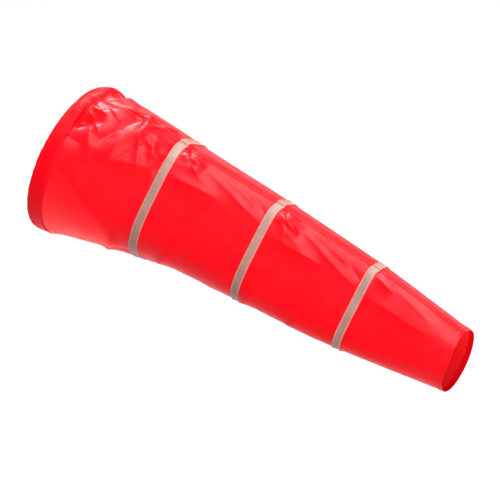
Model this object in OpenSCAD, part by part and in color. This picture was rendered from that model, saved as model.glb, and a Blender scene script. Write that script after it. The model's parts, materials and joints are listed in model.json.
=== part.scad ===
// Windsock: a tapered nylon cone held open by a wire hoop, in four sections
// of equal length with a reflective tape over each joint.
// The origin is the middle of the mouth, +X runs downwind along the sock and +Z is up.

/* [Sock] */
// Outside diameter of the mouth
mouth_d = 350; // [250:5:500]
// Outside diameter of the tail
tail_d = 140; // [100:5:200]
// Length from the mouth's edge to the tail's edge
sock_length = 1000; // [800:10:1500]

/* [Fabric] */
// Thickness of one ply, with the air in it
ply = 0.8; // [0.6:0.1:1]
// Gap between plies of neighbouring sections
ply_gap = 0.4; // [0.3:0.05:0.6]
// Gap between plies that are sewn together
sewn_gap = 0.1; // [0.05:0.05:0.15]
// How far a panel laps under the piece upwind of it
lap = 7; // [5:1:9]

/* [Mouth hem] */
// Width of the hem
hem_w = 39; // [26:1:45]
// Diameter of the tunnel that the hoop lies in
tunnel_d = 8; // [7.5:0.5:9]
// Thickness of the webbing inside the hem
webbing_t = 1.2; // [1:0.1:1.6]

/* [Hoop] */
// Diameter of the hoop's spring wire
wire_d = 4; // [3:0.5:4.5]
// Diameter of the crimped ferrule
ferrule_d = 6.8; // [6:0.2:7.2]
// Length of the crimped ferrule
ferrule_length = 30; // [20:1:40]

/* [Tie loops] */
// Diameter of the hole through a tie loop
loop_bore_d = 10; // [6:1:10]
// Thickness of the loop's strap
strap_t = 1.2; // [1:0.1:1.5]
// Width of the flat foot that is sewn to the webbing
foot_w = 26; // [20:1:30]

/* [Tapes and seams] */
// Width of a reflective tape
tape_w = 20; // [15:1:25]
// Thickness of a reflective tape
tape_t = 0.6; // [0.4:0.1:1]
// Width of the felled seam along the sock
seam_w = 8; // [6:1:10]
// Thickness of the felled seam above the panel
seam_t = 0.8; // [0.5:0.1:1.2]
// Clock position of the seam, from +Y towards +Z
seam_angle = 70; // [20:1:80]

/* [Tail hem] */
// Width of the tail hem
tail_hem_w = 12; // [10:1:20]
// Length of the folded edge past the panel's end
tail_fold = 4; // [2:1:6]

/* [Hidden] */
$fn = 96;

sections = 4;
section_length = sock_length / sections;

// the hoop's tunnel is a roll at the front edge of the hem
roll_r = tunnel_d / 2 + ply;
hoop_r = mouth_d / 2 - roll_r;
// the wire's two ends stop this many degrees apart, inside the ferrule
wire_end_gap = 1;
ferrule_angle = ferrule_length / hoop_r * 180 / PI;

// the webbing fills the hem between the roll and the first panel
webbing_start = 2 * roll_r + ply_gap;
webbing_end = hem_w - lap - ply_gap;
webbing_inner_r = cone_r(webbing_end) - 2 * ply - sewn_gap - webbing_t;

// a tie loop hangs far enough inside the hem for a cord to pass the roll
loop_r = loop_bore_d / 2 + strap_t;
loop_length = webbing_end - webbing_start - 2 * sewn_gap;
roll_clearance = 1.5;
loop_centre = hoop_r - roll_r - loop_bore_d / 2 - roll_clearance;
foot_face = sqrt(webbing_inner_r ^ 2 - (foot_w / 2) ^ 2) - sewn_gap;
neck_w = 4;

// colours of the fabric, the tapes and the metal
nylon_red = [0.86, 0.06, 0.07];
hem_red = [0.72, 0.02, 0.03];
seam_red = [0.62, 0.03, 0.05];
tape_grey = [0.66, 0.62, 0.58];
webbing_red = [0.55, 0.03, 0.04];
steel = [0.62, 0.63, 0.65];
aluminium = [0.78, 0.79, 0.8];

// Outside radius of the whole cone at the distance x from the mouth
function cone_r(x) = (mouth_d + (tail_d - mouth_d) * x / sock_length) / 2;

// Where the joint at the downwind end of section i lies
function joint_x(i) = i * section_length;

// Panel i starts inside the hem or inside the panel upwind of it
function panel_start(i) = i == 1 ? hem_w - lap : joint_x(i - 1) - lap;
function panel_end(i) = i == sections ? sock_length - tail_fold - ply_gap : joint_x(i);
function plies_over_start(i) = i == 1 ? 2 : 1;
function panel_start_r(i) = cone_r(panel_start(i)) - plies_over_start(i) * ply - ply_gap;
function panel_end_r(i) = cone_r(panel_end(i));
function panel_r(i, x) = panel_start_r(i) + (panel_end_r(i) - panel_start_r(i))
    * (x - panel_start(i)) / (panel_end(i) - panel_start(i));

// Turns a profile of [radius, distance along the sock] about the X axis.
// It starts at the clock position from_angle, counted from +Y towards +Z.
module turn_about_x(from_angle = 0, turn = 360)
    rotate([0, 90, 0])
        rotate([0, 0, 90 + from_angle])
            rotate_extrude(angle = turn)
                children();

// Profile of a thin cone between x0 and x1: r0 and r1 are its outside radii
module cone_profile(x0, r0, x1, r1, thickness)
    polygon([[r0, x0], [r1, x1], [r1 - thickness, x1], [r0 - thickness, x0]]);

// Places the profile of something round on the hoop's centre line
module at_hoop()
    translate([hoop_r, roll_r])
        children();

module mouth_hoop()
    color(steel)
        turn_about_x(seam_angle + wire_end_gap / 2, 360 - wire_end_gap)
            at_hoop()
                circle(d = wire_d);

module hoop_ferrule()
    color(aluminium)
        turn_about_x(seam_angle - ferrule_angle / 2, ferrule_angle)
            at_hoop()
                difference() {
                    circle(d = ferrule_d);
                    circle(d = wire_d + sewn_gap);
                }

module mouth_hem()
    color(hem_red)
        turn_about_x()
            difference() {
                union() {
                    at_hoop()
                        circle(r = roll_r);
                    cone_profile(roll_r, cone_r(roll_r), hem_w, cone_r(hem_w), 2 * ply);
                }
                at_hoop()
                    circle(d = tunnel_d);
            }

module hem_webbing()
    color(webbing_red)
        turn_about_x() {
            depth = 2 * ply + sewn_gap;
            cone_profile(
                webbing_start, cone_r(webbing_start) - depth,
                webbing_end, cone_r(webbing_end) - depth,
                webbing_t
            );
        }

// A strap folded into a round loop, with a neck and a flat foot sewn to the webbing
module tie_loop(clock_angle)
    color(webbing_red)
        rotate([clock_angle, 0, 0])
            translate([webbing_start + sewn_gap, 0, 0])
                rotate([90, 0, 90])
                    linear_extrude(height = loop_length)
                        difference() {
                            union() {
                                translate([loop_centre, 0])
                                    circle(r = loop_r);
                                translate([loop_centre, -neck_w / 2])
                                    square([foot_face - loop_centre, neck_w]);
                                translate([foot_face - strap_t, -foot_w / 2])
                                    square([strap_t, foot_w]);
                            }
                            translate([loop_centre, 0])
                                circle(d = loop_bore_d);
                        }

module panel(i)
    color(nylon_red)
        turn_about_x()
            cone_profile(panel_start(i), panel_start_r(i), panel_end(i), panel_end_r(i), ply);

// The felled seam runs along the outside of panel i, clear of the hem and the tapes
module panel_seam(i) {
    x0 = joint_x(i - 1) + (i == 1 ? hem_w : tape_w / 2) + ply_gap;
    x1 = joint_x(i) - (i == sections ? tail_hem_w : tape_w / 2) - ply_gap;
    above = sewn_gap + seam_t;
    width_angle = seam_w / panel_r(i, (x0 + x1) / 2) * 180 / PI;
    color(seam_red)
        turn_about_x(seam_angle - width_angle / 2, width_angle)
            cone_profile(x0, panel_r(i, x0) + above, x1, panel_r(i, x1) + above, seam_t);
}

module reflective_tape(i) {
    x0 = joint_x(i) - tape_w / 2;
    x1 = joint_x(i) + tape_w / 2;
    above = ply_gap + tape_t;
    color(tape_grey)
        turn_about_x()
            cone_profile(x0, cone_r(x0) + above, x1, cone_r(x1) + above, tape_t);
}

// The tail's edge is folded over the end of the last panel
module tail_hem() {
    x0 = sock_length - tail_hem_w;
    x1 = sock_length - tail_fold;
    above = sewn_gap + ply;
    color(hem_red)
        turn_about_x() {
            cone_profile(x0, cone_r(x0) + above, x1, cone_r(x1) + above, ply);
            cone_profile(x1, cone_r(x1) + above, sock_length, cone_r(sock_length) + above, above + ply);
        }
}

mouth_hoop();
hoop_ferrule();
mouth_hem();
hem_webbing();
tie_loop(90);  // tie_loop_top
tie_loop(0);  // tie_loop_left
tie_loop(270);  // tie_loop_bottom
tie_loop(180);  // tie_loop_right
for (i = [1 : sections]) {
    panel(i);
    panel_seam(i);
}
for (i = [1 : sections - 1])
    reflective_tape(i);
tail_hem();
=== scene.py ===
"""Looks of the windsock: nylon sections, hem, tapes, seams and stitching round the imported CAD."""
import json
import math

import bpy
import numpy as np
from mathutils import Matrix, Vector


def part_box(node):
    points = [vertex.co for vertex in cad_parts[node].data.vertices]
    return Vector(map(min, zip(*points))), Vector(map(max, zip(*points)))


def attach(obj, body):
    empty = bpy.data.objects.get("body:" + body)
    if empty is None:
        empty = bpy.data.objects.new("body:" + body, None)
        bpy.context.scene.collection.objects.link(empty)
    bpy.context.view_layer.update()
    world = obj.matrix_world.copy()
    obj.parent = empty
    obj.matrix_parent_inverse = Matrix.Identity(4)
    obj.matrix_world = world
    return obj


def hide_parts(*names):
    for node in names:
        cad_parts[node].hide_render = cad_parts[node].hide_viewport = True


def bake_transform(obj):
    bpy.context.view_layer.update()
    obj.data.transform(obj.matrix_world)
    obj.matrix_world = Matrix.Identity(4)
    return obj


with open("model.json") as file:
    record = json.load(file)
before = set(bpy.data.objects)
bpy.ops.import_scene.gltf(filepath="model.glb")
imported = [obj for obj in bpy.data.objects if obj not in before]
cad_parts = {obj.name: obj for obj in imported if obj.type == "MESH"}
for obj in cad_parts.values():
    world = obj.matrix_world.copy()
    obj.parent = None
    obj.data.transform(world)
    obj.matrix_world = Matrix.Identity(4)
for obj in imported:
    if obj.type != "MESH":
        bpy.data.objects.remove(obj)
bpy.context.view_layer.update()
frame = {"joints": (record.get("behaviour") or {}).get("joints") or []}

# ---------------------------------------------------------------- sizes from the frame
HEM_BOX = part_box("mouth_hem")
TAIL_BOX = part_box("tail_hem")
MOUTH_R = (HEM_BOX[1][1] - HEM_BOX[0][1]) / 2
# the tail's radius, as a share of the mouth's
TAIL_SHARE = 0.4
TAIL_R = TAIL_SHARE * MOUTH_R
HEM_W = HEM_BOX[1][0]
LENGTH = TAIL_BOX[1][0]
TAIL_HEM_W = TAIL_BOX[1][0] - TAIL_BOX[0][0]
JOINT_X = [joint["pos_m"][0] for joint in frame["joints"]]
TAPE_X = JOINT_X[1:]
TAPE_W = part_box("reflective_tape_1")[1][0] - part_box("reflective_tape_1")[0][0]

# across the sock: towards the upper ridge, and out of its broad face
RIDGE = np.array([0.0, 0.845, 0.535])
FACE = np.array([0.0, -0.535, 0.845])

# points along the sock and round it, in the grid that holds its shape
ROWS = 501
COLUMNS = 520
RNG = np.random.default_rng(7)


def smooth_step(t):
    t = np.clip(t, 0, 1)
    return t * t * (3 - 2 * t)


def curve_through(x, knots):
    """A smooth curve through the (place, value) pairs in knots, with no overshoot."""
    places = np.array([k[0] for k in knots])
    values = np.array([k[1] for k in knots])
    slopes = np.diff(values) / np.diff(places)
    tangents = np.zeros(len(places))
    inner = slopes[:-1] * slopes[1:] > 0
    means = 2 * slopes[:-1] * slopes[1:] / np.where(inner, slopes[:-1] + slopes[1:], 1)
    tangents[1:-1] = np.where(inner, means, 0)
    tangents[0], tangents[-1] = slopes[0], slopes[-1]
    x = np.clip(x, places[0], places[-1])
    i = np.clip(np.searchsorted(places, x) - 1, 0, len(places) - 2)
    h = places[i + 1] - places[i]
    t = (x - places[i]) / h
    t2, t3 = t * t, t * t * t
    return ((2 * t3 - 3 * t2 + 1) * values[i] + (t3 - 2 * t2 + t) * h * tangents[i]
            + (3 * t2 - 2 * t3) * values[i + 1] + (t3 - t2) * h * tangents[i + 1])


def cone_r(x):
    return MOUTH_R + (TAIL_R - MOUTH_R) * x / LENGTH


# ---------------------------------------------------------------- the sock's shape
# how far the upper outline stands out of a straight cone, and the lower one falls inside it
# (the hoop keeps both near nothing as far as the hem's webbing goes)
UPPER_BULGE = [(0, 0), (0.02, 0.0002), (0.034, 0.0006), (0.07, 0.0055), (0.13, 0.008), (0.2, 0.0085),
               (0.26, 0.0075), (0.5, 0.0118), (0.7, 0.0118), (0.9, 0.0056), (1, 0.001)]
LOWER_SINK = [(0, 0), (0.02, 0.0002), (0.034, 0.0006), (0.065, 0.0060), (0.15, 0.0155), (0.22, 0.0215),
              (0.3, 0.0265), (0.36, 0.0255), (0.45, 0.0185), (0.53, 0.0135), (0.62, 0.0065), (0.7, 0.0005),
              (0.8, -0.001), (1, 0)]
# depth of the broad face and of the far side, over the half width
FACE_DEPTH = [(0, 1), (0.04, 1), (0.25, 0.8), (0.5, 0.64), (0.75, 0.5), (0.93, 0.75), (1, 0.86)]
FAR_DEPTH = [(0, 1), (0.04, 1), (0.25, 1.1), (0.5, 1.12), (0.75, 1.12), (1, 1.12)]
# how far the section has gone from a circle to the ridged shape
RIDGED = [(0, 0), (0.035, 0), (0.12, 0.8), (0.25, 1), (0.85, 1), (1, 0.55)]
# the ridged cross-section: angle on a circle, across, outward
SECTION = [(38, 0.865, 0.80), (45, 0.805, 0.885), (56, 0.64, 0.975), (72, 0.36, 1.03), (90, 0.04, 1.01),
           (112, -0.35, 0.96), (136, -0.69, 0.83), (158, -0.92, 0.52), (180, -1.0, 0.0),
           (204, -0.92, -0.42), (230, -0.68, -0.77), (256, -0.28, -0.97), (282, 0.18, -0.99),
           (308, 0.6, -0.8), (334, 0.9, -0.44), (360, 1.0, 0.0), (379, 0.965, 0.45), (391, 0.915, 0.77)]
# points on the smooth curve between two neighbours in SECTION
STEPS = 24


def section_loops(x):
    """For each x, a closed loop of points (across, outward) that starts at the ridge."""
    top = cone_r(x) + curve_through(x, UPPER_BULGE)
    bottom = cone_r(x) - curve_through(x, LOWER_SINK)
    half, shift = (top + bottom) / 2, (top - bottom) / 2
    knots = np.array(SECTION)
    count = len(knots)
    place = np.arange(count * STEPS) / STEPS
    i = place.astype(int)
    t = (place - i)[:, None]
    wrapped = np.vstack([knots, knots + [360, 0, 0]])
    a, b, c, d = (np.roll(wrapped, -k, axis=0)[i] for k in (-1, 0, 1, 2))
    a = np.where((i == 0)[:, None], knots[-1] - [360, 0, 0], a)
    spline = 0.5 * (2 * b + (c - a) * t + (2 * a - 5 * b + 4 * c - d) * t ** 2
                    + (3 * b - a - 3 * c + d) * t ** 3)
    angle = np.radians(spline[:, 0])
    near = curve_through(x, FACE_DEPTH)[:, None]
    far = curve_through(x, FAR_DEPTH)[:, None]
    across = spline[None, :, 1] * np.ones_like(near)
    outward = np.where(spline[None, :, 2] > 0, spline[None, :, 2] * near, spline[None, :, 2] * far)
    share = curve_through(x, RIDGED)[:, None]
    across = share * across + (1 - share) * np.cos(angle)[None]
    outward = share * outward + (1 - share) * np.sin(angle)[None]
    return across * half[:, None] + shift[:, None], outward * half[:, None]


def even_columns(across, outward, columns):
    """Resamples each loop to columns points at even distances along it."""
    across = np.hstack([across, across[:, :1]])
    outward = np.hstack([outward, outward[:, :1]])
    run = np.hypot(np.diff(across), np.diff(outward)).cumsum(1)
    run = np.hstack([np.zeros((len(run), 1)), run])
    share = np.arange(columns) / columns
    even = [[np.interp(share * r[-1], r, line) for r, line in zip(run, lines)]
            for lines in (across, outward)]
    return np.array(even[0]), np.array(even[1]), run[:, -1]


# how far the cloth, and so each tape, is drawn downwind: on the broad face, and along the ridge
TAPE_SLIP = [(0, 0), (0.03, 0), (0.25, 0.006), (0.5, 0.006), (0.75, 0.01), (0.97, 0), (1, 0)]
RIDGE_SLIP = [(0, 0), (0.08, 0), (0.25, 0.009), (0.5, 0.010), (0.75, 0.008), (0.95, 0), (1, 0)]
# the upper side counts from this share of the half width, in full this much further out
UPPER_START, UPPER_REACH = 0.78, 0.22
# the tail's edge leans by this much, from this place along the sock and over this length
TAIL_LEAN = math.radians(3.2)
LEAN_START, LEAN_REACH = 0.8, 0.2


def grid_normals(points):
    """Unit normals of a grid of points that closes round its columns."""
    along = np.gradient(points, axis=0)
    around = (np.roll(points, -1, axis=1) - np.roll(points, 1, axis=1)) / 2
    normals = np.cross(around, along)
    return normals / np.linalg.norm(normals, axis=2, keepdims=True)


def sock_grid():
    """Points on the fabric: rows run round the sock at even steps along it, columns along it."""
    s = np.linspace(0, LENGTH, ROWS)
    across, outward, girth = even_columns(*section_loops(s), COLUMNS)
    half = (across.max(1) - across.min(1)) / 2
    facing = np.clip(outward / half[:, None], 0, 1)
    upper = smooth_step((across / half[:, None] - UPPER_START) / UPPER_REACH)
    upper = upper * np.clip(1.6 - 2 * facing, 0, 1)
    slip = facing * curve_through(s, TAPE_SLIP)[:, None] + upper * curve_through(s, RIDGE_SLIP)[:, None]
    x = s[:, None] + slip
    x = x - across * math.tan(TAIL_LEAN) * smooth_step((s[:, None] - LEAN_START) / LEAN_REACH)
    points = x[..., None] * np.array([1.0, 0, 0]) + across[..., None] * RIDGE + outward[..., None] * FACE
    return s, points, girth


# ---------------------------------------------------------------- creases and crumples
# Each fold is a ridge pushed in or out of the cloth, from one end to the other. An end is
# (distance along the sock, share of the way round from the ridge); then height and half width.
FOLDS = [
    # the star below the ridge, in front of the first tape
    ((0.130, 0.118), (0.168, 0.030), 0.0115, 0.014),
    ((0.168, 0.030), (0.236, 0.034), 0.0050, 0.013),
    ((0.168, 0.026), (0.150, -0.062), 0.0060, 0.012),
    ((0.170, 0.024), (0.222, -0.036), 0.0045, 0.010),
    ((0.165, 0.034), (0.196, 0.106), 0.0060, 0.013),
    ((0.108, 0.094), (0.150, 0.010), -0.0100, 0.018),
    ((0.148, 0.122), (0.182, 0.062), -0.0050, 0.012),
    ((0.200, 0.022), (0.216, 0.088), 0.0036, 0.012),
    ((0.150, 0.118), (0.240, 0.094), 0.0085, 0.020),
    # gathers behind the hem
    ((0.030, 0.026), (0.080, 0.034), 0.0090, 0.012),
    ((0.036, 0.034), (0.096, 0.080), 0.0065, 0.010),
    ((0.026, 0.068), (0.080, 0.056), -0.0150, 0.021),
    ((0.052, 0.045), (0.098, 0.130), 0.0040, 0.012),
    ((0.030, 0.110), (0.080, 0.120), -0.0045, 0.014),
    ((0.028, 0.985), (0.080, 0.972), 0.0060, 0.011),
    ((0.028, 0.952), (0.070, 0.960), -0.0060, 0.011),
    ((0.048, 0.855), (0.055, 0.940), -0.0170, 0.0075),
    ((0.066, 0.915), (0.110, 0.940), 0.0050, 0.012),
    # facets behind each tape
    ((0.272, 0.024), (0.316, 0.032), 0.0085, 0.011),
    ((0.272, 0.002), (0.294, 0.046), -0.0060, 0.010),
    ((0.272, 0.032), (0.340, 0.066), 0.0032, 0.013),
    ((0.522, 0.028), (0.566, 0.048), 0.0075, 0.011),
    ((0.522, 0.004), (0.545, 0.058), -0.0050, 0.011),
    ((0.524, 0.048), (0.590, 0.084), 0.0030, 0.013),
    ((0.770, 0.028), (0.812, 0.044), 0.0045, 0.012),
    # the lower edge of each section's shoulder
    ((0.275, 0.088), (0.370, 0.084), 0.0055, 0.020),
    ((0.530, 0.098), (0.640, 0.094), 0.0045, 0.018),
    ((0.780, 0.108), (0.920, 0.112), 0.0032, 0.016),
    # ripples down the broad face and on the lower side
    ((0.325, 0.030), (0.430, 0.058), 0.0022, 0.010),
    ((0.365, 0.020), (0.462, 0.042), 0.0018, 0.008),
    ((0.410, 0.058), (0.484, 0.078), 0.0020, 0.010),
    ((0.440, 0.022), (0.488, 0.050), -0.0018, 0.008),
    ((0.575, 0.032), (0.668, 0.064), 0.0022, 0.010),
    ((0.605, 0.018), (0.705, 0.046), 0.0024, 0.008),
    ((0.635, 0.060), (0.722, 0.092), 0.0024, 0.010),
    ((0.690, 0.034), (0.738, 0.070), -0.0020, 0.008),
    ((0.830, 0.030), (0.930, 0.060), 0.0012, 0.010),
    ((0.176, 0.385), (0.206, 0.290), 0.0070, 0.012),
    ((0.300, 0.355), (0.332, 0.280), 0.0055, 0.013),
    ((0.512, 0.350), (0.548, 0.260), 0.0060, 0.014),
    ((0.630, 0.345), (0.660, 0.270), 0.0045, 0.014),
    ((0.190, 0.350), (0.250, 0.330), -0.0040, 0.011),
]
# regions of small random creases: centre, half sizes, how many, greatest height
CRUMPLED = [((0.055, -0.01), (0.030, 0.085), 22, 0.0042), ((0.165, 0.02), (0.070, 0.070), 22, 0.0034),
            ((0.285, 0.02), (0.022, 0.030), 7, 0.0026), ((0.535, 0.03), (0.022, 0.030), 6, 0.0024),
            ((0.775, 0.02), (0.020, 0.030), 4, 0.0014), ((0.5, 0.6), (0.45, 0.25), 70, 0.0034)]


# half the length, as a share of the fold's, over which its ends are let down
FOLD_EASE = 0.28
# 1 makes a fold a sharp tent, and 2 a round hill
FOLD_ROUND = 1.25
# the least and greatest half length and half width of a small random crease
CREASE_SPAN = (0.014, 0.04)
CREASE_WIDTH = (0.007, 0.013)


def fold_offset(s, v, start, end, height, width):
    """How far one fold moves each point of the grid: a tent along a line, with its ends let down."""
    across = (v - start[1] + 0.5) % 1.0 - 0.5
    turn = (end[1] - start[1] + 0.5) % 1.0 - 0.5
    girth = GIRTH[:, None]
    x, y = s - start[0], across * girth
    dx, dy = end[0] - start[0], turn * np.interp((start[0] + end[0]) / 2, S, GIRTH)
    length = math.hypot(dx, dy)
    along = (x * dx + y * dy) / length ** 2
    away = np.abs(x * dy - y * dx) / length
    ends = smooth_step((along + FOLD_EASE) / (2 * FOLD_EASE))
    ends = ends * smooth_step((1 + FOLD_EASE - along) / (2 * FOLD_EASE))
    return height * ends * np.exp(-(away / width) ** FOLD_ROUND)


def crumple():
    """All the folds and creases as one grid of offsets along the cloth's normals."""
    s = S[:, None]
    v = np.arange(COLUMNS)[None, :] / COLUMNS
    offset = np.zeros((ROWS, COLUMNS))
    for start, end, height, width in FOLDS:
        offset += fold_offset(s, v, start, end, height, width)
    for centre, reach, count, height in CRUMPLED:
        for _ in range(count):
            spot = np.array(centre) + RNG.uniform(-1, 1, 2) * reach
            heading = RNG.uniform(0, math.pi)
            span = RNG.uniform(*CREASE_SPAN)
            turn = span * math.sin(heading) / np.interp(spot[0], S, GIRTH)
            step = np.array([span * math.cos(heading), turn])
            size = height * RNG.uniform(-1, 1)
            offset += fold_offset(s, v, spot - step, spot + step, size, RNG.uniform(*CREASE_WIDTH))
    return offset


# the gathered top of the hem: middle and half width as shares of the way round, height
GATHERED = [(-0.075, 0.040, 0.0065), (-0.02, 0.030, 0.0045), (0.035, 0.034, 0.0085), (-0.13, 0.03, 0.003)]
# the gathers start here and rise over this length
GATHER_START, GATHER_RISE = 0.002, 0.021
# they end here, and fall over this length before that
GATHER_END, GATHER_FALL = 0.051, 0.026
GATHER_ROUND = 2.4


def gathers():
    """The hem's cloth bunches up along its top, proud of the hoop."""
    v = np.arange(COLUMNS) / COLUMNS
    height = np.zeros(COLUMNS)
    for middle, half, rise in GATHERED:
        height += rise * np.exp(-(np.abs((v - middle + 0.5) % 1.0 - 0.5) / half) ** GATHER_ROUND)
    front = smooth_step((S - GATHER_START) / GATHER_RISE)
    back = smooth_step((GATHER_END - S) / GATHER_FALL)
    return (front * back)[:, None] * height[None, :]


# creases start here behind the mouth, and reach their height over this length
CREASE_START, CREASE_RISE = 0.010, 0.018
# they die out over this length before the tail's hem
CREASE_FALL = 0.02
# how much of them a tape takes away, and how far from its middle it does so
TAPE_HOLD, TAPE_REACH = 0.65, 0.014
# under the hem, up to this far from its free edge, no crease goes deeper than this
HEM_MARGIN, HEM_DEPTH = 0.004, 0.0003


def quiet_edges(offset):
    """Lets the creases down at the hem and the tail, and most of the way under each tape."""
    keep = smooth_step((S - CREASE_START) / CREASE_RISE)
    keep = keep * smooth_step((LENGTH - TAIL_HEM_W - S) / CREASE_FALL)
    for x in TAPE_X:
        keep = keep * (1 - TAPE_HOLD * np.exp(-((S - x) / TAPE_REACH) ** 4))
    offset = offset * keep[:, None]
    return np.where(S[:, None] < HEM_W - HEM_MARGIN, np.maximum(offset, -HEM_DEPTH), offset)


S, BASE, GIRTH = sock_grid()
FLAT_NORMALS = grid_normals(BASE)
MIDDLE = ROWS // 2
if (FLAT_NORMALS[MIDDLE] * (BASE[MIDDLE] - BASE[MIDDLE].mean(0))).sum() < 0:
    FLAT_NORMALS = -FLAT_NORMALS
SOCK = BASE + FLAT_NORMALS * (quiet_edges(crumple()) + gathers())[..., None]
SOCK_NORMALS = grid_normals(SOCK)
if (SOCK_NORMALS[MIDDLE] * FLAT_NORMALS[MIDDLE]).sum() < 0:
    SOCK_NORMALS = -SOCK_NORMALS


def on_sock(s, v, lift=0.0):
    """The point on the fabric at the distance s along it and the share v of the way round."""
    s, v, lift = np.broadcast_arrays(np.asarray(s, float), np.asarray(v, float), np.asarray(lift, float))
    row = np.clip(s / LENGTH * (ROWS - 1), 0, ROWS - 1.001)
    column = (v % 1.0) * COLUMNS
    i, j = row.astype(int), column.astype(int) % COLUMNS
    a, b = (row - i)[..., None], (column - np.floor(column))[..., None]
    k = (j + 1) % COLUMNS

    def sample(grid):
        return (grid[i, j] * (1 - a) * (1 - b) + grid[i + 1, j] * a * (1 - b)
                + grid[i, k] * (1 - a) * b + grid[i + 1, k] * a * b)

    normal = sample(SOCK_NORMALS)
    normal = normal / np.linalg.norm(normal, axis=-1, keepdims=True)
    return sample(SOCK) + normal * lift[..., None], normal


def girth_at(s):
    return np.interp(s, S, GIRTH)


# ---------------------------------------------------------------- meshes
def mesh_object(name, vertices, faces, uv=None):
    """An object from points and faces; uv has one pair in metres for each face corner."""
    mesh = bpy.data.meshes.new(name)
    faces = faces.tolist() if isinstance(faces, np.ndarray) else faces
    mesh.from_pydata(np.asarray(vertices).reshape(-1, 3).tolist(), [], faces)
    mesh.polygons.foreach_set("use_smooth", [True] * len(mesh.polygons))
    if uv is not None:
        layer = mesh.uv_layers.new(name="cloth")
        layer.data.foreach_set("uv", np.asarray(uv, np.float32).ravel())
    mesh.update()
    obj = bpy.data.objects.new(name, mesh)
    bpy.context.collection.objects.link(obj)
    return obj


def grid_quads(rows, columns, wrap_rows=False, wrap_columns=True):
    """Quads between the rows and columns of a grid; a wrapped side joins its end to its start."""
    r, c = np.meshgrid(np.arange(rows if wrap_rows else rows - 1),
                       np.arange(columns if wrap_columns else columns - 1), indexing="ij")
    r1, c1 = (r + 1) % rows, (c + 1) % columns
    quads = [r * columns + c, r * columns + c1, r1 * columns + c1, r1 * columns + c]
    return np.stack(quads, -1).reshape(-1, 4)


def grid_uv(along, around, wrap_rows=False, wrap_columns=True):
    """UVs for grid_quads: along is a length for each row, around a length for each column."""
    step = around[-1] - around[-2]
    along = np.append(along, 2 * along[-1] - along[-2])
    around = np.append(around, around[-1] + step)
    r, c = np.meshgrid(np.arange(len(along) - (1 if wrap_rows else 2)),
                       np.arange(len(around) - (1 if wrap_columns else 2)), indexing="ij")
    corners = [(around[c], along[r]), (around[c + 1], along[r]),
               (around[c + 1], along[r + 1]), (around[c], along[r + 1])]
    return np.stack([np.stack(pair, -1) for pair in corners], 2).reshape(-1, 2)


def path_lengths(points):
    """The distance along a line of points, at each of them."""
    steps = np.linalg.norm(np.diff(points, axis=0), axis=1)
    return np.append(0, steps.cumsum())


def ring_sheet(name, s, lift, wrap=False):
    """A piece that runs round the sock: s and lift give each row's place on and above the cloth."""
    v = np.arange(COLUMNS) / COLUMNS
    points, _ = on_sock(np.asarray(s)[:, None], v[None, :], np.asarray(lift)[:, None])
    around = v * girth_at(np.mean(s))
    along = path_lengths(points[:, 0])
    return mesh_object(name, points, grid_quads(len(s), COLUMNS, wrap), grid_uv(along, around, wrap))


STITCH_SIDES = 6
# rings of one stitch: share of its length, rise and radius, both in thread thicknesses
STITCH_RINGS = ((0.0, -1.2, 0.5), (0.12, 0.1, 0.9), (0.5, 0.75, 1.0), (0.88, 0.1, 0.9), (1.0, -1.2, 0.5))


def stitch_mesh(points, normals, thread, gap):
    """Short arched tubes of thread, one from each point to the next, less a gap between them."""
    begin, finish = points[:-1], points[1:]
    normal = normals[:-1]
    step = finish - begin
    side = np.cross(step, normal)
    side = side / np.linalg.norm(side, axis=1, keepdims=True)
    rings = []
    for share, rise, size in STITCH_RINGS:
        place = gap / 2 + share * (1 - gap)
        middle = begin + step * place + normal * rise * thread
        for k in range(STITCH_SIDES):
            turn = 2 * math.pi * k / STITCH_SIDES
            rings.append(middle + (side * math.cos(turn) + normal * math.sin(turn)) * thread * size)
    vertices = np.stack(rings, 1)
    quads = grid_quads(len(STITCH_RINGS), STITCH_SIDES)
    first = np.arange(len(begin))[:, None, None] * vertices.shape[1]
    return vertices.reshape(-1, 3), (quads[None] + first).reshape(-1, 4)


def stitches(name, rows, pitch=0.0042, thread=0.00045, gap=0.16):
    """One object of stitching. Each row is a function from shares 0..1 to (points, normals, length)."""
    vertices, quads, count = [], [], 0
    for row in rows:
        length = row(np.array([0.0, 1.0]))[2]
        shares = np.linspace(0, 1, max(3, int(length / pitch)) + 1)
        points, normals, _ = row(shares)
        part, faces = stitch_mesh(points, normals, thread, gap)
        vertices.append(part)
        quads.append(faces + count)
        count += len(part)
    return mesh_object(name, np.vstack(vertices), np.vstack(quads))


# a row round the sock ends just short of its start, which is the same point
ALMOST_ROUND = 0.99999


def ring_row(s, lift):
    """A row of stitching round the sock."""
    return lambda share: (*on_sock(s, share * ALMOST_ROUND, lift), girth_at(s))


def run_row(s0, s1, v_at, lift):
    """A row of stitching along the sock; v_at gives its share round at each distance."""
    def row(share):
        s = s0 + (s1 - s0) * share
        return (*on_sock(s, v_at(s), lift), s1 - s0)
    return row


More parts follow.
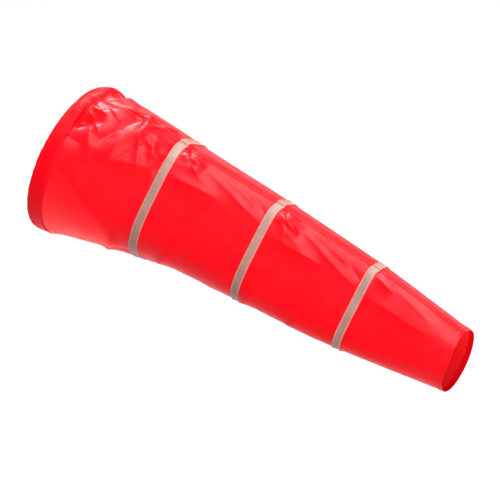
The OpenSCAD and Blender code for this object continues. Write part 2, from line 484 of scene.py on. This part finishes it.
# ---------------------------------------------------------------- materials
class Nodes:
    """A material's node tree, with short calls to add and join nodes."""

    def __init__(self, name):
        self.material = bpy.data.materials.new(name)
        self.material.use_nodes = True
        self.tree = self.material.node_tree
        self.tree.nodes.clear()

    def put(self, node, key, value):
        socket = node.inputs[key]
        if isinstance(value, bpy.types.NodeSocket):
            self.tree.links.new(value, socket)
        else:
            socket.default_value = value

    def add(self, kind, settings=None, **inputs):
        """A node; an input's spaces are written as underscores."""
        node = self.tree.nodes.new("ShaderNode" + kind)
        for key, value in (settings or {}).items():
            setattr(node, key, value)
        for key, value in inputs.items():
            self.put(node, key.replace("_", " "), value)
        return node

    def place(self):
        return self.add("TexCoord").outputs["Object"]

    def cloth(self):
        return self.add("UVMap", {"uv_map": "cloth"}).outputs["UV"]

    def noise(self, vector, scale, detail=3.0, roughness=0.55):
        node = self.add("TexNoise", Vector=vector, Scale=scale, Detail=detail, Roughness=roughness)
        return node.outputs["Fac"]

    def waves(self, vector, scale, direction, distortion=0.6):
        node = self.add("TexWave", {"bands_direction": direction}, Vector=vector, Scale=scale,
                        Distortion=distortion, Detail=1.0)
        return node.outputs["Fac"]

    def math(self, operation, a, b):
        node = self.add("Math", {"operation": operation})
        self.put(node, 0, a)
        self.put(node, 1, b)
        return node.outputs[0]

    def spread(self, value, low, high, start=0.0, end=1.0):
        """The value's part from start to end, spread between low and high."""
        node = self.add("MapRange", Value=value, From_Min=start, From_Max=end, To_Min=low, To_Max=high)
        return node.outputs["Result"]

    def blend(self, share, a, b):
        node = self.add("Mix", {"data_type": "RGBA"})
        self.put(node, 0, share)
        self.put(node, 6, a)
        self.put(node, 7, b)
        return node.outputs[2]

    def bump(self, height, strength, distance, normal=None):
        node = self.add("Bump", Height=height, Strength=strength, Distance=distance)
        if normal is not None:
            self.put(node, "Normal", normal)
        return node.outputs["Normal"]

    def principled(self, colour, rough, normal, metallic=0.0, specular=0.5, sheen=0.0, tint=(1, 1, 1, 1)):
        node = self.add("BsdfPrincipled", Base_Color=colour, Roughness=rough, Normal=normal)
        node.inputs["Metallic"].default_value = metallic
        node.inputs["Specular IOR Level"].default_value = specular
        node.inputs["Specular Tint"].default_value = tint
        node.inputs["Sheen Weight"].default_value = sheen
        node.inputs["Sheen Roughness"].default_value = 0.45
        node.inputs["Sheen Tint"].default_value = rgb(1.0, 0.35, 0.4)
        return node.outputs[0]

    def finish(self, shader):
        output = self.add("OutputMaterial")
        self.tree.links.new(shader, output.inputs["Surface"])
        return self.material


def rgb(r, g, b):
    return (r, g, b, 1.0)


def weave(n, scale):
    """Two sets of threads that cross, on the flat cloth."""
    cloth = n.cloth()
    return n.math("MULTIPLY", n.waves(cloth, scale, "X"), n.waves(cloth, scale, "Y"))


def nylon(name, deep, bright, glow, see_through, rough, specular):
    """Thin coated nylon: woven, a little shiny, and light from behind shows through it."""
    n = Nodes(name)
    place = n.place()
    threads = weave(n, 430.0)
    cloudy = n.noise(place, 7.0)
    crumpled = n.noise(place, 42.0, 5.0, 0.5)
    colour = n.blend(cloudy, deep, bright)
    colour = n.blend(n.spread(threads, 0.0, 0.10), colour, deep)
    fine = n.bump(threads, 0.16, 0.0001)
    soft = n.bump(crumpled, 0.30, 0.0016, fine)
    roughness = n.spread(crumpled, rough - 0.07, rough + 0.07, 0.3, 0.7)
    front = n.principled(colour, roughness, soft, specular=specular, sheen=0.02, tint=rgb(1.0, 0.58, 0.62))
    through = n.add("BsdfTranslucent", Color=glow, Normal=soft).outputs[0]
    mix = n.add("MixShader")
    mix.inputs[0].default_value = see_through
    n.tree.links.new(front, mix.inputs[1])
    n.tree.links.new(through, mix.inputs[2])
    return n.finish(mix.outputs[0])


def reflective():
    """Grey beaded tape: a fine net of cells under a film, scuffed and stained."""
    n = Nodes("reflective_tape")
    place, cloth = n.place(), n.cloth()
    cells = n.add("TexVoronoi", {"feature": "DISTANCE_TO_EDGE"}, Vector=cloth, Scale=420.0)
    net = n.spread(cells.outputs["Distance"], 0.0, 1.0, 0.0, 0.12)
    dirt = n.noise(place, 16.0, 5.0, 0.6)
    scuff = n.noise(place, 90.0, 3.0, 0.6)
    dirty = n.spread(dirt, 0.0, 1.0, 0.35, 0.7)
    colour = n.blend(dirty, rgb(0.215, 0.104, 0.082), rgb(0.315, 0.162, 0.134))
    colour = n.blend(n.spread(net, 0.22, 0.0), colour, rgb(0.20, 0.15, 0.12))
    normal = n.bump(scuff, 0.25, 0.0008, n.bump(net, 0.3, 0.0002))
    return n.finish(n.principled(colour, n.spread(scuff, 0.34, 0.58), normal, specular=0.45))


def webbing_cloth():
    """Ribbed polyester webbing."""
    n = Nodes("webbing")
    place, cloth = n.place(), n.cloth()
    ribs = n.waves(cloth, 200.0, "X", 0.2)
    yarns = n.math("MULTIPLY", ribs, n.waves(cloth, 260.0, "Y", 0.3))
    worn = n.noise(place, 60.0, 4.0, 0.6)
    colour = n.blend(worn, rgb(0.24, 0.004, 0.008), rgb(0.42, 0.010, 0.014))
    normal = n.bump(worn, 0.3, 0.0006, n.bump(yarns, 0.6, 0.0004))
    return n.finish(n.principled(colour, n.spread(worn, 0.62, 0.82), normal, specular=0.25, sheen=0.25))


def thread(name, dark, pale):
    """Twisted sewing thread."""
    n = Nodes(name)
    place = n.place()
    twist = n.noise(place, 1400.0, 2.0)
    patches = n.noise(place, 55.0)
    normal = n.bump(twist, 0.5, 0.0002)
    colour = n.blend(patches, dark, pale)
    rough = n.spread(twist, 0.45, 0.65)
    return n.finish(n.principled(colour, rough, normal, specular=0.3, sheen=0.15))


def metal(name, colour, worn_colour, rough, streaks):
    """Drawn or turned metal: long fine scratches, and duller where it is worn."""
    n = Nodes(name)
    place = n.place()
    stretched = n.add("VectorMath", {"operation": "MULTIPLY"})
    n.put(stretched, 0, place)
    stretched.inputs[1].default_value = streaks
    lines = n.noise(stretched.outputs[0], 1.0, 4.0, 0.6)
    worn = n.noise(place, 45.0, 4.0, 0.6)
    tint = n.blend(n.spread(worn, 0.0, 1.0, 0.45, 0.7), colour, worn_colour)
    normal = n.bump(lines, 0.25, 0.0003)
    return n.finish(n.principled(tint, n.spread(worn, rough - 0.08, rough + 0.14), normal, metallic=1.0))


def floor_white():
    """A plain pale floor. Its colour is a mid grey, which the studio's light brings up to white."""
    n = Nodes("floor_white")
    grain = n.noise(n.place(), 3.0)
    colour = n.blend(grain, rgb(0.49, 0.49, 0.49), rgb(0.51, 0.51, 0.51))
    rough = n.spread(grain, 0.9, 0.95)
    return n.finish(n.principled(colour, rough, n.bump(grain, 0.05, 0.001), specular=0.0))


PANEL_NYLON = nylon("panel_nylon", deep=rgb(0.68, 0.0005, 0.005), bright=rgb(0.78, 0.001, 0.008),
                    glow=rgb(1.0, 0.035, 0.045), see_through=0.17, rough=0.40, specular=0.28)
# the hem's nylon is the panel's cloth in lighter colours: painted light, standing in for the light that
# its two plies and the webbing keep out
HEM_NYLON_PAINTED_LIGHT = nylon("hem_nylon", deep=rgb(0.76, 0.0005, 0.005), bright=rgb(0.86, 0.001, 0.009),
                  glow=rgb(1.0, 0.02, 0.03), see_through=0.16, rough=0.46, specular=0.10)
# the seam's nylon is the panel's cloth painted darker: painted shade along the seam
SEAM_NYLON_PAINTED_SHADE = nylon("seam_nylon", deep=rgb(0.46, 0.0005, 0.004), bright=rgb(0.58, 0.001, 0.008),
                   glow=rgb(0.9, 0.02, 0.03), see_through=0.06, rough=0.44, specular=0.25)
# the tail hem's nylon is the panel's cloth in lighter colours: painted light, brightening the tail's edge
# and inside, which lie in shade
TAIL_NYLON_PAINTED_LIGHT = nylon("tail_nylon_painted_light", deep=rgb(0.70, 0.0005, 0.005), bright=rgb(0.80, 0.001, 0.009),
                   glow=rgb(1.0, 0.05, 0.06), see_through=0.15, rough=0.40, specular=0.26)
TAPE = reflective()
WEBBING = webbing_cloth()
RED_THREAD = thread("red_thread", rgb(0.62, 0.002, 0.008), rgb(0.80, 0.010, 0.018))
TAPE_THREAD = thread("tape_thread", rgb(0.62, 0.20, 0.13), rgb(0.78, 0.30, 0.20))


def dress(obj, material):
    """Gives a piece its material."""
    obj.data.materials.clear()
    obj.data.materials.append(material)


# ---------------------------------------------------------------- hem, webbing and tie loops
# the radius of the roll of cloth round the hoop
ROLL_R = 0.0038
HOOP_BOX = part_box("mouth_hoop")
HOOP_X = (HOOP_BOX[0][0] + HOOP_BOX[1][0]) / 2
HOOP_R = HOOP_BOX[1][1] - (HOOP_BOX[1][0] - HOOP_BOX[0][0]) / 2
FERRULE_BOX = np.array(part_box("hoop_ferrule"))
PLY = 0.0008
# the row of stitches that closes the roll
SEW_X = 0.0106
# the roll's radius where it swells over the ferrule, and how far it takes to swell
ROLL_OVER_FERRULE = 0.0043
SWELL = 0.012
# the starting places of the waves that make up the puckers
PUCKERS = RNG.uniform(0, 2 * math.pi, 12)
HEM_COLUMNS = 720
# the outer ply's height above the cloth, how far its stitches draw it in, and how far it puckers
HEM_LIFT, HEM_DRAW, HEM_PUCKER = 0.0007, 0.0010, 0.0002
# how far below the cloth the inner ply lies, in plies, and how thick the fabric is, in plies
INNER_DROP, HEM_THICK = 2.2, 0.8
# the roll runs from the outer ply round to the inner one, between these angles
ROLL_FROM, ROLL_TO = math.radians(48), math.radians(322)


def pucker(v):
    """-1 to 1 round the sock: the uneven gathers that a sewn edge draws up."""
    waves = [math.sin(0.7 * k + 0.6) * np.sin(2 * math.pi * (7 + 4 * k) * v + PUCKERS[k])
             for k in range(len(PUCKERS))]
    return np.clip(sum(waves) / 3.0, -1, 1)


def ring_way(v):
    """Straight out from the axis, at the share v of the way round."""
    angle = math.radians(SECTION[0][0]) + 2 * math.pi * np.asarray(v)
    return np.cos(angle)[..., None] * RIDGE + np.sin(angle)[..., None] * FACE


def over_ferrule(v):
    """1 where the hoop's ferrule lies, falling to 0 past its ends."""
    middle = FERRULE_BOX.mean(0) * [0, 1, 1]
    half = np.linalg.norm((FERRULE_BOX[1] - FERRULE_BOX[0])[1:]) / 2
    turn = np.arccos(np.clip(ring_way(v) @ (middle / np.linalg.norm(middle)), -1, 1))
    return smooth_step((half + SWELL - turn * HOOP_R) / SWELL)


def outer_ply(v):
    """Points on the hem's outer ply, from its free edge to the roll's stitches."""
    s = np.linspace(HEM_W, SEW_X - 0.0014, 20)
    sewn = np.exp(-((s - SEW_X) / 0.0012) ** 2)
    free = smooth_step((HEM_W - s) / 0.002) * (1 - sewn)
    lift = HEM_LIFT - HEM_DRAW * sewn[:, None] + HEM_PUCKER * (free[:, None] * pucker(v)[None])
    points, _ = on_sock(s[:, None], v[None], lift)
    return points


def hoop_roll(v):
    """Points on the roll of cloth round the hoop and its ferrule."""
    turns = np.linspace(ROLL_FROM, ROLL_TO, 24)
    swollen = over_ferrule(v)
    radius = (1 - swollen) * ROLL_R * (1 + 0.10 * pucker(v + 0.3)) + swollen * ROLL_OVER_FERRULE
    x = HOOP_X + np.cos(turns)[:, None] * radius[None]
    r = HOOP_R + np.sin(turns)[:, None] * radius[None]
    return x[..., None] * np.array([1.0, 0, 0]) + r[..., None] * ring_way(v)[None]


def inner_ply(v):
    """Points on the hem's inner ply, from the roll's stitches to its free edge."""
    s = np.linspace(SEW_X - 0.0008, HEM_W + 0.001, 12)
    points, _ = on_sock(s[:, None], v[None], -INNER_DROP * PLY)
    return points


def make_hem():
    """Outer ply on the sock's shape, a roll round the hoop, and an inner ply outside the webbing."""
    v = np.arange(HEM_COLUMNS) / HEM_COLUMNS
    path = np.concatenate([outer_ply(v), hoop_roll(v), inner_ply(v)])
    normals = grid_normals(path)
    # row 5 is on the outer ply, where the normal has to point away from the axis
    if (normals[5, 0] * ring_way(0.0)).sum() < 0:
        normals = -normals
    points = np.concatenate([path, (path - normals * PLY * HEM_THICK)[::-1]])
    along = path_lengths(points[:, 0])
    hem = mesh_object("mouth_hem_fabric", points, grid_quads(len(points), HEM_COLUMNS, True),
                      grid_uv(along, v * 2 * math.pi * MOUTH_R, True))
    # the hem wears the lighter nylon, painted light
    dress(hem, HEM_NYLON_PAINTED_LIGHT)
    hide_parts("mouth_hem")
    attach(hem, "mouth")
    # the flat width is measured opposite the ferrule, where the roll isn't swollen
    width = float(path_lengths(path[:, HEM_COLUMNS // 2])[-1])


def make_hem_stitches():
    """One row closes the roll, and one holds the hem's free edge to the first section."""
    rows = [ring_row(SEW_X, 0.0001), ring_row(HEM_W - 0.0030, 0.0010)]
    obj = stitches("mouth_hem_stitching", rows)
    dress(obj, RED_THREAD)
    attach(obj, "mouth")


# how far above the cloth the webbing's two faces lie, and how far its edges stay from the CAD's
WEBBING_OUT, WEBBING_IN = -0.0020, -0.0029
WEBBING_INSET = 0.0003


def make_webbing():
    """A flat band of webbing, sewn to the inside of the hem and following it."""
    low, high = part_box("hem_webbing")
    run = np.linspace(low[0] + WEBBING_INSET, high[0] - WEBBING_INSET, 12)
    s = np.concatenate([run, run[::-1]])
    lift = np.repeat([WEBBING_OUT, WEBBING_IN], len(run))
    v = np.arange(HEM_COLUMNS) / HEM_COLUMNS
    points, _ = on_sock(s[:, None], v[None], lift[:, None])
    uv = grid_uv(path_lengths(points[:, 0]), v * 2 * math.pi * MOUTH_R, True)
    ring = mesh_object("hem_webbing_ring", points, grid_quads(len(s), HEM_COLUMNS, True), uv)
    dress(ring, WEBBING)
    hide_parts("hem_webbing")
    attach(ring, "mouth")


STRAP_T = 0.0011
LOOP_BORE_R = 0.005
# the CAD strap's thickness, and half the width of the foot that is sewn down
CAD_STRAP_T = 0.0012
HALF_FOOT = 0.0126
# the strap's corners are rounded by this much
STRAP_ROUND = 0.0003
# rows of bar tacks, across the foot, and the width of their zigzag
TACK_ROWS = (-0.0105, -0.0065, 0.0065, 0.0105)
TACK_ZIGZAG = 0.0008


def strap_path(centre, foot, half_foot):
    """The strap's middle line, (outward, sideways): foot, neck, round the bore, neck, foot."""
    ring = LOOP_BORE_R + STRAP_T / 2 + 0.00005
    lean = math.radians(14)
    turns = np.linspace(lean, 2 * math.pi - lean, 34)
    loop = [(centre + ring * math.cos(a), ring * math.sin(a)) for a in turns]
    neck = loop[0][1]
    bends = np.linspace(0, 1, 7)[1:]
    flare = [(foot - 0.0028 * (1 - t) ** 2, neck + 0.0026 * t ** 2) for t in bends]
    flat = [(foot, y) for y in np.linspace(flare[-1][1], half_foot, 6)[1:]]
    half = [(foot - 0.0036, neck)] + flare + flat
    mirrored = [(r, -y) for r, y in half]
    return np.array(half[::-1] + loop + mirrored)


def strap_edges(x0, x1):
    """The strap's cross-section, rounded at its corners: (x, share of half the thickness)."""
    near, far = x0 + STRAP_ROUND, x1 - STRAP_ROUND
    return [(x0, 0.5), (near, 1), (far, 1), (x1, 0.5), (x1, -0.5), (far, -1), (near, -1), (x0, -0.5)]


def make_loop(name):
    """A strap folded round a bore, with a foot on the webbing, where the CAD has this tie loop."""
    low, high = (np.array(corner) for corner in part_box(name))
    middle = (low + high) / 2
    out = np.round(middle[1:] / np.linalg.norm(middle[1:]))
    side = np.array([-out[1], out[0]])
    reach = np.array([abs(out @ low[1:]), abs(out @ high[1:])])
    foot = reach.max() - STRAP_T / 2
    centre = reach.min() + LOOP_BORE_R + CAD_STRAP_T
    path = strap_path(centre, foot, HALF_FOOT)
    tangent = np.gradient(path, axis=0)
    tangent = tangent / np.linalg.norm(tangent, axis=1, keepdims=True)
    across = np.stack([-tangent[:, 1], tangent[:, 0]], 1)
    x0, x1 = low[0] + 0.0002, high[0] - 0.0002
    edges = strap_edges(x0, x1)
    rows = []
    for x, share in edges:
        flat = path + across * share * STRAP_T / 2
        rows.append(np.hstack([np.full((len(flat), 1), x), flat[:, :1] * out + flat[:, 1:] * side]))
    points = np.stack(rows)
    quads = grid_quads(len(edges), len(path), True, False)
    first = [k * len(path) for k in range(len(edges))]
    last = [k * len(path) + len(path) - 1 for k in reversed(range(len(edges)))]
    along = path_lengths(path)
    across_uv = path_lengths(np.array([[e[0], e[1] * STRAP_T / 2] for e in edges]))
    obj = mesh_object(name + "_strap", points, quads.tolist() + [first, last])
    layer = obj.data.uv_layers.new(name="cloth")
    uv = np.vstack([grid_uv(across_uv, along, True, False), np.zeros((2 * len(edges), 2))])
    layer.data.foreach_set("uv", uv.astype(np.float32).ravel())
    dress(obj, WEBBING)
    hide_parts(name)
    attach(obj, "mouth")
    make_bar_tacks(name, out, side, foot, x0, x1)


def make_bar_tacks(name, out, side, foot, x0, x1):
    """Close zigzag stitching across each foot of a tie loop."""
    rows = []
    inward = np.append(0, -out)
    for place in TACK_ROWS:
        def row(share, place=place):
            zigzag = place + TACK_ZIGZAG * (np.arange(len(share)) % 2 - 0.5) * 2
            x = x0 + 0.001 + (x1 - x0 - 0.002) * share
            flat = out * (foot - STRAP_T / 2 - 0.0001) + side * zigzag[:, None]
            return np.hstack([x[:, None], flat]), np.tile(inward, (len(x), 1)), x1 - x0
        rows.append(row)
    obj = stitches(name + "_bar_tacks", rows, pitch=0.0007, thread=0.0003, gap=0.0)
    dress(obj, RED_THREAD)
    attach(obj, "mouth")


# ---------------------------------------------------------------- sections
# how far the first panel laps under the hem, and how far the last stops short of the tail's edge
HEM_LAP, TAIL_GAP = 0.0065, 0.003
# the distance between rows of points along a panel or a seam
ROW_STEP = 0.002
# the gap between a seam's end and the hem or tape there
SEAM_GAP = 0.0003


def section_span(i):
    """Where section i's fabric starts and ends along the sock."""
    start = HEM_W - HEM_LAP if i == 1 else TAPE_X[i - 2]
    end = LENGTH - TAIL_GAP if i == 4 else TAPE_X[i - 1]
    return start, end


def bend(obj):
    """Bakes a piece's placement into its mesh points."""
    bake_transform(obj)


def make_panel(i):
    """The nylon of section i, cut as a tapered strip."""
    start, end = section_span(i)
    s = np.linspace(start, end, int((end - start) / ROW_STEP) + 1)
    panel = ring_sheet(f"nylon_panel_{i}", s, np.zeros(len(s)))
    dress(panel, PANEL_NYLON)
    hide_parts(f"panel_{i}")
    bend(panel)
    girths = girth_at(s)


def seam_middle(s):
    """The seam wanders a little about the ridge."""
    return 0.0015 + 0.0012 * np.sin(s * 21.0) + 0.0007 * np.sin(s * 57.0 + 1.0)


SEAM_W = 0.0075
# the seam's cross-section: share of its width, height above the cloth
SEAM_SECTION = [(-0.5, -0.0002), (-0.49, 0.0005), (-0.42, 0.0009), (-0.2, 0.0008), (0.0, 0.0009),
                (0.2, 0.0011), (0.42, 0.0010), (0.49, 0.0005), (0.5, -0.0002)]
# the stitches draw the seam in at this pitch, and lie at these shares of its width
SEAM_PITCH = 0.0085
SEAM_ROWS = (-0.34, 0.34)


def make_seam(i):
    """The felled seam of section i, with two rows of stitches, between the hem and the tapes."""
    start, end = section_span(i)
    start = HEM_W + SEAM_GAP if i == 1 else start + TAPE_W / 2 + SEAM_GAP
    end = LENGTH - TAIL_HEM_W - SEAM_GAP if i == 4 else end - TAPE_W / 2 - SEAM_GAP
    s = np.linspace(start, end, int((end - start) / ROW_STEP) + 1)
    share = np.array([place for place, _ in SEAM_SECTION])
    rise = np.array([lift for _, lift in SEAM_SECTION])
    v = seam_middle(s)[:, None] + share[None, :] * SEAM_W / girth_at(s)[:, None]
    puckered = 1 + 0.25 * np.sin(s * 2 * math.pi / SEAM_PITCH)
    lift = rise[None, :] * puckered[:, None]
    points, _ = on_sock(s[:, None], v, lift)
    uv = grid_uv(s - start, share * SEAM_W, False, False)
    seam = mesh_object(f"felled_seam_{i}", points, grid_quads(len(s), len(share), False, False), uv)
    # the seam wears the darker nylon, painted shade
    dress(seam, SEAM_NYLON_PAINTED_SHADE)
    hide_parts(f"panel_seam_{i}")
    bend(seam)
    rows = []
    for place in SEAM_ROWS:
        def v_at(t, place=place):
            return seam_middle(t) + place * SEAM_W / girth_at(t)
        rows.append(run_row(start, end, v_at, 0.0010))
    sewn = stitches(f"felled_seam_{i}_stitching", rows)
    dress(sewn, RED_THREAD)
    bend(sewn)


# a tape's height above the cloth underneath, at its edge's middle, and at its edge's top
TAPE_UNDER, TAPE_SIDE, TAPE_TOP = 0.0003, 0.0010, 0.0014
# how far in from its edge a tape reaches that top
TAPE_ROUND = 0.0004


def tape_section():
    """A tape's cross-section: places across its width, and heights above the cloth."""
    half = TAPE_W / 2
    across = np.linspace(-half, half, 11)
    within = across[1:-1]
    # over the outside from edge to edge, then back underneath, so that both sides follow the creases
    place = np.concatenate([[-half, -half, -half + TAPE_ROUND], within, [half - TAPE_ROUND, half, half],
                            within[::-1]])
    face = np.interp(np.abs(within), [0, half * 0.6, half], [0.0013, 0.0012, TAPE_TOP])
    edge = [TAPE_UNDER, TAPE_SIDE, TAPE_TOP]
    lift = np.concatenate([edge, face, edge[::-1], np.full(len(within), TAPE_UNDER)])
    return place, lift


def make_tape(i):
    """The reflective tape at the downwind end of section i, with a row of stitches along each edge."""
    half = TAPE_W / 2
    place, lift = tape_section()
    tape = ring_sheet(f"tape_band_{i}", TAPE_X[i - 1] + place, lift, wrap=True)
    dress(tape, TAPE)
    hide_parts(f"reflective_tape_{i}")
    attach(tape, f"section_{i}")
    rows = [ring_row(TAPE_X[i - 1] + side * (half - 0.0018), 0.0014) for side in (-1, 1)]
    sewn = stitches(f"tape_band_{i}_stitching", rows, thread=0.0007, gap=0.1)
    dress(sewn, TAPE_THREAD)
    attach(sewn, f"section_{i}")


# the tail hem's fold has this radius, and its middle lies this far inside the cloth
TAIL_FOLD, TAIL_SINK = 0.0008, 0.0002


def make_tail_hem():
    """A strip folded over the tail's edge, with its outer and inner sides, and its stitches."""
    start, fold = LENGTH - TAIL_HEM_W, TAIL_FOLD
    outer = np.linspace(start, LENGTH - fold, 8)
    turns = np.linspace(math.pi / 2, -math.pi / 2, 9)[1:-1]
    s = np.concatenate([outer, LENGTH - fold + fold * np.cos(turns), outer[::-1]])
    lift = np.concatenate([np.full(8, 0.0006), fold * np.sin(turns) - TAIL_SINK, np.full(8, -0.0010)])
    # the free edge on the outside is pressed down
    lift[0] = 0.0002
    hem = ring_sheet("tail_hem_fabric", s, lift)
    # the tail hem wears the lighter nylon, painted light
    dress(hem, TAIL_NYLON_PAINTED_LIGHT)
    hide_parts("tail_hem")
    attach(hem, "section_4")
    float(girth_at(start))
    float(path_lengths(np.stack([s, lift], 1))[-1])
    sewn = stitches("tail_hem_stitching", [ring_row(start + 0.0022, 0.0007)])
    dress(sewn, RED_THREAD)
    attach(sewn, "section_4")


def finish_metal():
    """New materials for the CAD hoop and its ferrule."""
    steel = metal("spring_steel", rgb(0.50, 0.51, 0.53), rgb(0.30, 0.28, 0.26), 0.30, (30.0, 30.0, 30.0))
    aluminium = metal("ferrule_aluminium", rgb(0.75, 0.76, 0.78), rgb(0.55, 0.55, 0.56), 0.34,
                      (400.0, 60.0, 60.0))
    for name, material in (("mouth_hoop", steel), ("hoop_ferrule", aluminium)):
        bpy.data.objects[name].material_slots[0].material = material


# ---------------------------------------------------------------- studio
# half the floor's side, and how far below the sock it lies
FLOOR_SIZE, FLOOR_DROP = 30.0, 1.25


def make_stage():
    """A floor well below the sock, which hangs in the air."""
    ways = [(-1, -1), (1, -1), (1, 1), (-1, 1)]
    corners = [(x * FLOOR_SIZE, y * FLOOR_SIZE, -FLOOR_DROP) for x, y in ways]
    floor = mesh_object("floor", corners, [(0, 1, 2, 3)])
    floor.data.materials.append(floor_white())


def aim(obj, direction):
    """Puts a lamp or a camera in the scene, looking along direction."""
    bpy.context.collection.objects.link(obj)
    obj.rotation_mode = "QUATERNION"
    obj.rotation_quaternion = Vector(direction).to_track_quat("-Z", "Y")


def softbox(name, way, distance, size, power):
    """A rectangular light, out from the sock's middle along way, that faces it."""
    data = bpy.data.lights.new(name, "AREA")
    data.shape = "RECTANGLE"
    data.size, data.size_y = size
    data.energy = power
    lamp = bpy.data.objects.new(name, data)
    way = Vector(way).normalized()
    lamp.location = Vector((LENGTH / 2, 0, 0)) + way * distance
    aim(lamp, -way)


WORLD_LIGHT = 0.25
SUN_LIGHT = 6.5
# the sun shines from upwind and from the sock's far side, so that the near cloth glows
SUN_WAY = (0.594, -0.679, -0.43)
# name, way out from the sock's middle, distance, size, power
SOFTBOXES = [("softbox_top", (-0.15, 0.22, 0.96), 2.6, (1.4, 3.0), 155),
             ("softbox_front", (0.75, -0.55, 0.35), 4.0, (2.4, 2.4), 120)]


def make_lights():
    """A white surround, the sun, and two softboxes: one above and one on the camera's side."""
    world = bpy.data.worlds.new("studio")
    world.use_nodes = True
    world.node_tree.nodes["Background"].inputs[0].default_value = (1, 1, 1, 1)
    world.node_tree.nodes["Background"].inputs[1].default_value = WORLD_LIGHT
    bpy.context.scene.world = world
    sun = bpy.data.lights.new("key", "SUN")
    sun.energy, sun.angle = SUN_LIGHT, math.radians(2)
    aim(bpy.data.objects.new("key", sun), SUN_WAY)
    for box in SOFTBOXES:
        softbox(*box)


# angles as in the photo: round from straight across the sock, and up from level
CAMERA_AZIMUTH = math.radians(33.66)
CAMERA_ELEVATION = math.radians(52.65)
CAMERA_DISTANCE = 6.379
CAMERA_LENS = 212.0
CAMERA_AIM = Vector((0.4739, -0.0005, 0.0050))


def make_camera():
    """A long lens, looking down at the sock from the photo's side."""
    a, e = CAMERA_AZIMUTH, CAMERA_ELEVATION
    back = Vector((math.sin(a) * math.cos(e), -math.cos(a) * math.cos(e), math.sin(e)))
    data = bpy.data.cameras.new("camera")
    data.lens, data.sensor_width = CAMERA_LENS, 36.0
    camera = bpy.data.objects.new("camera", data)
    camera.location = CAMERA_AIM + back * CAMERA_DISTANCE
    aim(camera, -back)
    bpy.context.scene.camera = camera


bpy.context.scene.view_settings.view_transform = "Standard"
make_camera()
make_stage()
make_lights()
finish_metal()
make_hem()
make_hem_stitches()
make_webbing()
for loop in ("tie_loop_top", "tie_loop_left", "tie_loop_bottom", "tie_loop_right"):
    make_loop(loop)
for section in (1, 2, 3, 4):
    make_panel(section)
    make_seam(section)
for band in (1, 2, 3):
    make_tape(band)
make_tail_hem()
